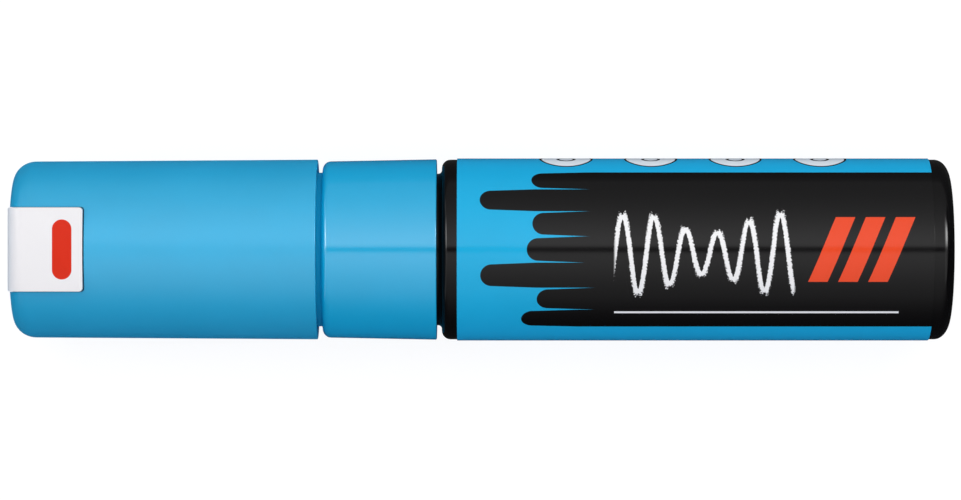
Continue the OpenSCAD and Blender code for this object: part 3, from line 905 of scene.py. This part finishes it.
coat(fibre_tree, fibre_shader, stain, strands * 0.2 + 0.68, strands, FUZZ_DEPTH)
print("fibre finish:", len(fibre_tree.nodes), "nodes")

# %% Cut the nib
NIB_HALF_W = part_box("nib")[1].y / MM
NIB_HALF_T = (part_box("nib")[1].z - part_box("nib")[0].z) / 2 / MM
NIB_SLANT = math.radians(27)
NIB_ROUND = 0.6
NIB_EDGE = 0.25
TOUCH = 1e-6


def nib_section(gap):
    """Corners of the nib across its axis, rounded, grown by a gap."""
    w, h = NIB_HALF_W + gap, NIB_HALF_T + gap
    return soften([(-w, -h, NIB_ROUND), (w, -h, NIB_ROUND), (w, h, NIB_ROUND), (-w, h, NIB_ROUND)])


nib = bar("fibre_nib", nib_section(0.0), NIB_REAR, NIB_TIP)
for point in nib.data.vertices:
    if point.co.x < place(NIB_TIP).x + TOUCH:
        point.co.x += (NIB_HALF_W * MM - point.co.y) * math.tan(NIB_SLANT)
bevel(nib, NIB_EDGE, 50.0)
set_finish(nib, nib_fibre, 40.0)
dress(nib, "nib_unit", "nib_fibre", "nib")
print("nib:", len(nib.data.polygons), "faces")

# %% Turn the holder and bore it
HOLDER_REAR, HOLDER_FRONT = ahead_of_tail("nib_holder")
HOLDER_R = 5.4
FLANGE_R, FLANGE_END = 6.1, HOLDER_REAR + 2.0
SOCKET_GAP = 0.03
FEED_R, FEED_AT = 0.9, 2.8

holder_profile = [
    (HOLDER_REAR, 0.0), (HOLDER_REAR, FLANGE_R, 0.2), (FLANGE_END, FLANGE_R, 0.1), (FLANGE_END, HOLDER_R),
    (HOLDER_FRONT, HOLDER_R, 0.35), (HOLDER_FRONT, 0.0),
]
holder = turned("nib_carrier", holder_profile, holder_plastic, segments=128)
bores = [bar("nib_socket", nib_section(SOCKET_GAP), NIB_REAR, HOLDER_FRONT + PAST)]
for side in (-1, 1):
    feed_section = oval(side * FEED_AT, 0.0, FEED_R, FEED_R, 0, 345, 23)
    bores.append(bar("ink_feed", feed_section, HOLDER_REAR - PAST, NIB_REAR + 0.5))
combine(holder, "DIFFERENCE", *bores)
set_finish(holder, holder_plastic)
dress(holder, "nib_unit", "holder_white", "nib_holder")
print("holder:", len(holder.data.polygons), "faces")

# %% [markdown]
# ## The valve spring
# A steel spring closes the valve and pushes the nib out again. Its wire follows a helix whose end turns lie
# wire on wire, so a Geometry Nodes tree bends a line into that helix and sweeps a round section along it.
# On the real marker the front end moves with the nib when it is pressed in, and the rear end stays; here
# the spring is made once, at its resting length.

# %% The coil tree
TURN_STEPS = 32.0
coiling = new_tree("Coil a wire", {
    "Start": "Float", "Length": "Float", "Mean Radius": "Float", "Wire": "Float", "Turns": "Int"})


def build_coiling(tree):
    given = asked(tree)
    turns, wire, radius = given["Turns"], given["Wire"], given["Mean Radius"]
    line = geo(tree, "CurvePrimitiveLine")
    points = geo(tree, "ResampleCurve", {"Curve": line, "Count": turns * TURN_STEPS + 1.0})
    turn = Field(tree, geo(tree, "SplineParameter").outputs["Factor"]) * turns
    first = turn.at_most(1.0) * wire
    last = (turn - (turns - 1.0)).at_least(0.0) * wire
    open_share = ((turn - 1.0) / (turns - 2.0)).at_least(0.0).at_most(1.0)
    rise = wire * 0.5 + first + last + open_share * (given["Length"] - wire * 3.0)
    angle = turn * math.tau
    bent = vector(tree, X=given["Start"] - rise, Y=radius * angle.sum("SINE"),
                  Z=radius * angle.sum("COSINE") + given["Axis Height"])
    helix = geo(tree, "SetPosition", {"Geometry": points, "Position": bent})
    section = geo(tree, "CurvePrimitiveCircle", {"Resolution": 10, "Radius": wire * 0.5})
    swept = geo(tree, "CurveToMesh", {"Curve": helix, "Profile Curve": section, "Fill Caps": True})
    hand_out(tree, swept, given)


build_coiling(coiling)
print("coil tree:", len(coiling.nodes), "nodes")

# %% [markdown]
# ## Steel
# The spring is drawn wire and the ball is polished, so both are metal with fine variation in their gloss:
# long marks stretched along the marker's axis on one, and a few soft scuffs on the other.

# %% Steel finishes


def steel(name, colour, gloss, spread, stretch):
    """Bare steel; its scuffs are noise that can be stretched along the marker."""
    material, tree, shader = new_finish(name, Metallic=1.0)
    spot = on_object(tree)
    long = add(tree, "ShaderNodeMapping", {"Vector": spot, "Scale": (stretch, 1.0, 1.0)})
    scuffs = noise(tree, long, 3.0, detail=4.0, seed=8.0)
    bare = blend_colours(tree, scuffs, shade(colour, 0.88), shade(colour, 1.08))
    coat(tree, shader, bare, scuffs * spread + gloss)
    return material


wire_steel = steel("wire_steel", (0.60, 0.61, 0.63), 0.22, 0.2, 0.3)
ball_steel = steel("ball_steel", (0.70, 0.71, 0.73), 0.08, 0.12, 1.0)
print("steel finishes ready")

# %% Coil the spring
SPRING_REAR, SPRING_FRONT = ahead_of_tail("valve_spring")
SPRING_TURNS = 7
SPRING_MEAN_R = 2.6
WIRE = 0.5

spring = new_piece("coil_spring", [], [], [])
grow(spring, coiling, wire_steel, {
    "Start": place(SPRING_REAR).x, "Length": (SPRING_FRONT - SPRING_REAR) * MM,
    "Mean Radius": SPRING_MEAN_R * MM, "Wire": WIRE * MM, "Turns": SPRING_TURNS})
set_finish(spring, wire_steel, 60.0)
place(SPRING_REAR + 1.5 * WIRE)
place(SPRING_FRONT - 1.5 * WIRE)
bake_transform(spring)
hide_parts("valve_spring")
print("spring:", len(spring.data.polygons), "faces over", round(SPRING_FRONT - SPRING_REAR, 2), "mm")

# %% [markdown]
# ## Pieces that keep their solids
# The valve's mouldings, its seals and the mixing ball already have their true shape, and nothing outside
# shows them. Their solids stay as they are and only get a finish.

# %% Finishes for the valve and the ball
for finish, nodes in ((valve_plastic, ("valve_body", "spring_retainer", "valve_stem")),
                      (rubber, ("valve_gasket", "stem_seal")), (ball_steel, ("mixing_ball",))):
    for node in nodes:
        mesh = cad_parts[node].data
        mesh.materials.clear()
        mesh.materials.append(finish)
print("solids kept:", sorted(n for n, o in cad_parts.items() if not o.hide_render))

# %% [markdown]
# ## The studio
# The marker lies on a white table. The table and the world are white to the camera by their own colour, so
# the lamps can stay at a plain level, and the table keeps a faint shadow. Light that bounces off the table
# is slightly cool, as it is under daylight.

# %% Floor and world
FLOOR_R, FLOOR_SIDES = 3.0, 64
FILL = 0.10
BOUNCE = (0.45, 0.68, 0.92, 1.0)
SHADOW_GREY = (0.22, 0.22, 0.22, 1.0)
WHITE = (1.0, 1.0, 1.0, 1.0)
TABLE_GLOW = 0.85

rim = oval(0.0, 0.0, FLOOR_R, FLOOR_R, 0, 360, FLOOR_SIDES)[1:]
floor = new_piece("table", [(x, y, 0.0) for x, y in rim], [], [range(FLOOR_SIDES)])


def bare_material(name):
    """A material without a shader yet, its tree and the socket that its surface goes into."""
    material = bpy.data.materials.new(name)
    material.use_nodes = True
    tree = material.node_tree
    tree.nodes.remove(tree.nodes["Principled BSDF"])
    return material, tree, tree.nodes["Material Output"].inputs["Surface"]


def seen_directly(tree):
    """1 for rays from the camera, and for what metal and clear pieces show."""
    rays = add(tree, "ShaderNodeLightPath").outputs
    seen = Field(tree, rays["Is Camera Ray"]) + Field(tree, rays["Is Glossy Ray"])
    return seen.sum("ADD", Field(tree, rays["Is Transmission Ray"]), clamp=True)


table_white, table_tree, table_surface = bare_material("table_white")
paper = add(table_tree, "ShaderNodeBsdfDiffuse", {"Color": BOUNCE})
shadow_catcher = add(table_tree, "ShaderNodeBsdfDiffuse", {"Color": SHADOW_GREY})
own_white = add(table_tree, "ShaderNodeEmission", {"Color": WHITE, "Strength": TABLE_GLOW})
bright_paper = add(table_tree, "ShaderNodeAddShader", {0: shadow_catcher, 1: own_white})
table_mix = add(table_tree, "ShaderNodeMixShader", {0: seen_directly(table_tree), 1: paper, 2: bright_paper})
plug(table_tree, table_surface, table_mix)
floor.data.materials.append(table_white)

world = bpy.data.worlds.new("studio")
bpy.context.scene.world = world
world.use_nodes = True
sky = world.node_tree
backdrop = sky.nodes["Background"]
backdrop.inputs["Color"].default_value = WHITE
plug(sky, backdrop.inputs["Strength"], seen_directly(sky) * (1.0 - FILL) + FILL)
print("floor and world ready")

# %% [markdown]
# ## A light tent
# Glossy black on white is photographed in a light tent. Its cloth is bright at the top and darker towards
# the table, so that the gloss fades evenly round the barrel and its edges stay dark, and the slit for the
# camera draws a thin dark line along the top. A bright band in front and a bright card at the rear draw the
# small highlights on the roundings. The tent is a shut tunnel over a dark bed, seen by reflections alone.

# %% A tent that only reflections see
TENT_R = 0.30
TENT_HALF_LENGTH = 0.5
TENT_STEPS = 24
TENT_LIFT = 0.0004


def mirrored_only(name, section, shut):
    """A long sheet that shows in reflections only: its tree, its glow's strength and its coordinates."""
    count = 2 * len(section)
    faces = [(i, i + 1, i + 3, i + 2) for i in range(0, count - 2, 2)]
    if shut:
        faces += [range(0, count, 2), range(1, count, 2)]
    ends = (-TENT_HALF_LENGTH, TENT_HALF_LENGTH)
    sheet = new_piece(name, [(x, *point) for point in section for x in ends], [], faces)
    sheet.visible_camera = sheet.visible_diffuse = sheet.visible_transmission = sheet.visible_shadow = False
    cloth, tree, surface = bare_material(name + "_cloth")
    sheet.data.materials.append(cloth)
    glow = add(tree, "ShaderNodeEmission")
    plug(tree, surface, glow)
    return tree, glow.inputs["Strength"], xyz(tree, on_object(tree))


arch = oval(0.0, AXIS * MM, TENT_R, TENT_R, 0, 180, TENT_STEPS)
foot, other_foot = (TENT_R, TENT_LIFT), (-TENT_R, TENT_LIFT)
tent_tree, tent_strength, (tent_x, tent_y, tent_z) = mirrored_only("tent", [foot, *arch, other_foot], True)
bed_tree, bed_strength, (_, bed_y, _) = mirrored_only("tent_bed", [other_foot, foot], False)
print("tent", 2 * TENT_HALF_LENGTH, "m long, in", TENT_STEPS, "steps")

# %% How the tent's cloth glows
FADE_ANGLE = math.radians(44)
SLIT_ANGLE, SLIT_BLUR, SLIT_GLOW = math.radians(3.2), math.radians(1.6), 0.05
FAR_GLOW, NEAR_GLOW, RIDGE_BLUR = 2.7, 2.0, 0.2
HEM_ANGLE, HEM_BLUR = math.radians(-82), math.radians(42)
END_BLUR = 0.01
BAND, BAND_CORE = (0.32, 0.48, 0.03), (0.03, 0.2, 0.1)
BAND_GLOW, BAND_CORE_GLOW = 1.0, 14.0
CARD_EDGE, CARD_FOOT, CARD_CORE = (0.42, 0.25), (0.18, 0.04), (0.05, 0.2, 0.08)
CARD_GLOW, CARD_CORE_GLOW = 2.0, 34.0
BED_EDGE = (0.12, 0.24)
BED_GLOW, BED_FAR, BED_NEAR = 0.01, 0.5, 0.11

lean = tent_y.sum("ARCTAN2", tent_z - AXIS * MM)
fade = (lean * lean * FADE_ANGLE ** -2 + 1.0).sum("POWER", -1.0)
slit = abs(lean).past(SLIT_ANGLE, SLIT_BLUR) * (1 - SLIT_GLOW) + SLIT_GLOW
sides = lean.past(0.0, RIDGE_BLUR) * (FAR_GLOW - NEAR_GLOW) + NEAR_GLOW
hem = lean.past(HEM_ANGLE, HEM_BLUR)
before_ends = 1.0 - abs(tent_x).past(TENT_HALF_LENGTH - END_BLUR, END_BLUR)
cloth_glow = fade * slit * sides * hem * before_ends
band_glow = within(tent_y, *BAND_CORE) * BAND_CORE_GLOW + BAND_GLOW
front_band = within(tent_x * -1.0, *BAND) * band_glow
card_glow = within(tent_y, *CARD_CORE) * CARD_CORE_GLOW + CARD_GLOW
rear_card = tent_x.past(*CARD_EDGE) * tent_z.past(*CARD_FOOT) * card_glow
plug(tent_tree, tent_strength, cloth_glow + front_band + rear_card)

far_edge = bed_y.past(*BED_EDGE) * BED_FAR
near_edge = (bed_y * -1.0).past(*BED_EDGE) * BED_NEAR
plug(bed_tree, bed_strength, far_edge + near_edge + BED_GLOW)
print("tent:", len(tent_tree.nodes), "nodes in its cloth")

# %% [markdown]
# ## Soft boxes
# Six long soft boxes stand in an arc over the marker, and one lamp leans in over each end. They light the
# plastics' own colours. Their mirror images would cut hard shapes into the gloss, so reflections see the
# tent instead of them. One box on the near side is slightly cool, like the table.

# %% Hang the lamps
BOX_DISTANCE = 0.85
BOX_LENGTH = 1.5
BOX_FROM, WING_FROM, SKIRT_FROM, SKIRT_TO = 2.4, 27, 58, 88
COOL = (0.87, 0.87, 1.0)
END_SIZE = (0.4, 0.6)
END_RADIANCE = 2.0
END_REACH, END_LIFT, END_TILT = 0.95, 0.44, math.radians(65)


def hang_lamp(name, radiance, size, at, tilt, colour=(1.0, 1.0, 1.0)):
    """A flat lamp of a plain radiance, which neither the camera nor reflections see."""
    lamp = bpy.data.lights.new(name, "AREA")
    lamp.shape = "RECTANGLE"
    lamp.size, lamp.size_y = size
    lamp.energy, lamp.color = radiance * math.pi * lamp.size * lamp.size_y, colour
    stand = new_object(name, lamp)
    stand.location, stand.rotation_euler = at, tilt
    stand.visible_camera = stand.visible_glossy = False


def soft_box(name, radiance, lean_from, lean_to, **options):
    """A lamp that faces the marker's axis, between two angles from the vertical, far side positive."""
    middle = math.radians(lean_from + lean_to) / 2
    spread = math.radians(abs(lean_to - lean_from))
    reach = BOX_DISTANCE * math.cos(spread / 2)
    at = (0.0, reach * math.sin(middle), AXIS * MM + reach * math.cos(middle))
    size = (BOX_LENGTH, 2 * BOX_DISTANCE * math.sin(spread / 2))
    hang_lamp(name, radiance, size, at, (-middle, 0.0, 0.0), **options)


soft_box("box_far", 1.39, BOX_FROM, WING_FROM)
soft_box("wing_far", 1.32, WING_FROM, SKIRT_FROM)
soft_box("skirt_far", 0.82, SKIRT_FROM, SKIRT_TO)
soft_box("box_near", 1.13, -BOX_FROM, -WING_FROM)
soft_box("wing_near", 1.15, -WING_FROM, -SKIRT_FROM, colour=COOL)
soft_box("skirt_near", 0.03, -SKIRT_FROM, -SKIRT_TO)
for name, way in (("end_front", -1), ("end_rear", 1)):
    hang_lamp(name, END_RADIANCE, END_SIZE, (way * END_REACH, 0.0, AXIS * MM + END_LIFT),
              (0.0, way * END_TILT, 0.0))
print("lamps:", len(bpy.data.lights))

# %% [markdown]
# ## The camera
# The photograph looks straight down on the marker from about 0.7 m with a long lens. The image is 961 by
# 500 pixels, and the marker's axis lies just under its middle row.

# %% Camera over the marker
CAMERA_HEIGHT = 0.716
CAMERA_X, CAMERA_Y = -0.0001, -0.00007
LENS_MM, SENSOR_MM = 198.3, 36.0

camera = new_object("camera", bpy.data.cameras.new("camera"))
camera.data.sensor_width, camera.data.lens = SENSOR_MM, LENS_MM
camera.location = (CAMERA_X, CAMERA_Y, AXIS * MM + CAMERA_HEIGHT)
bpy.context.scene.camera = camera
bpy.context.scene.view_settings.view_transform = "Standard"
print("camera", round(camera.location.z, 3), "m above the table")
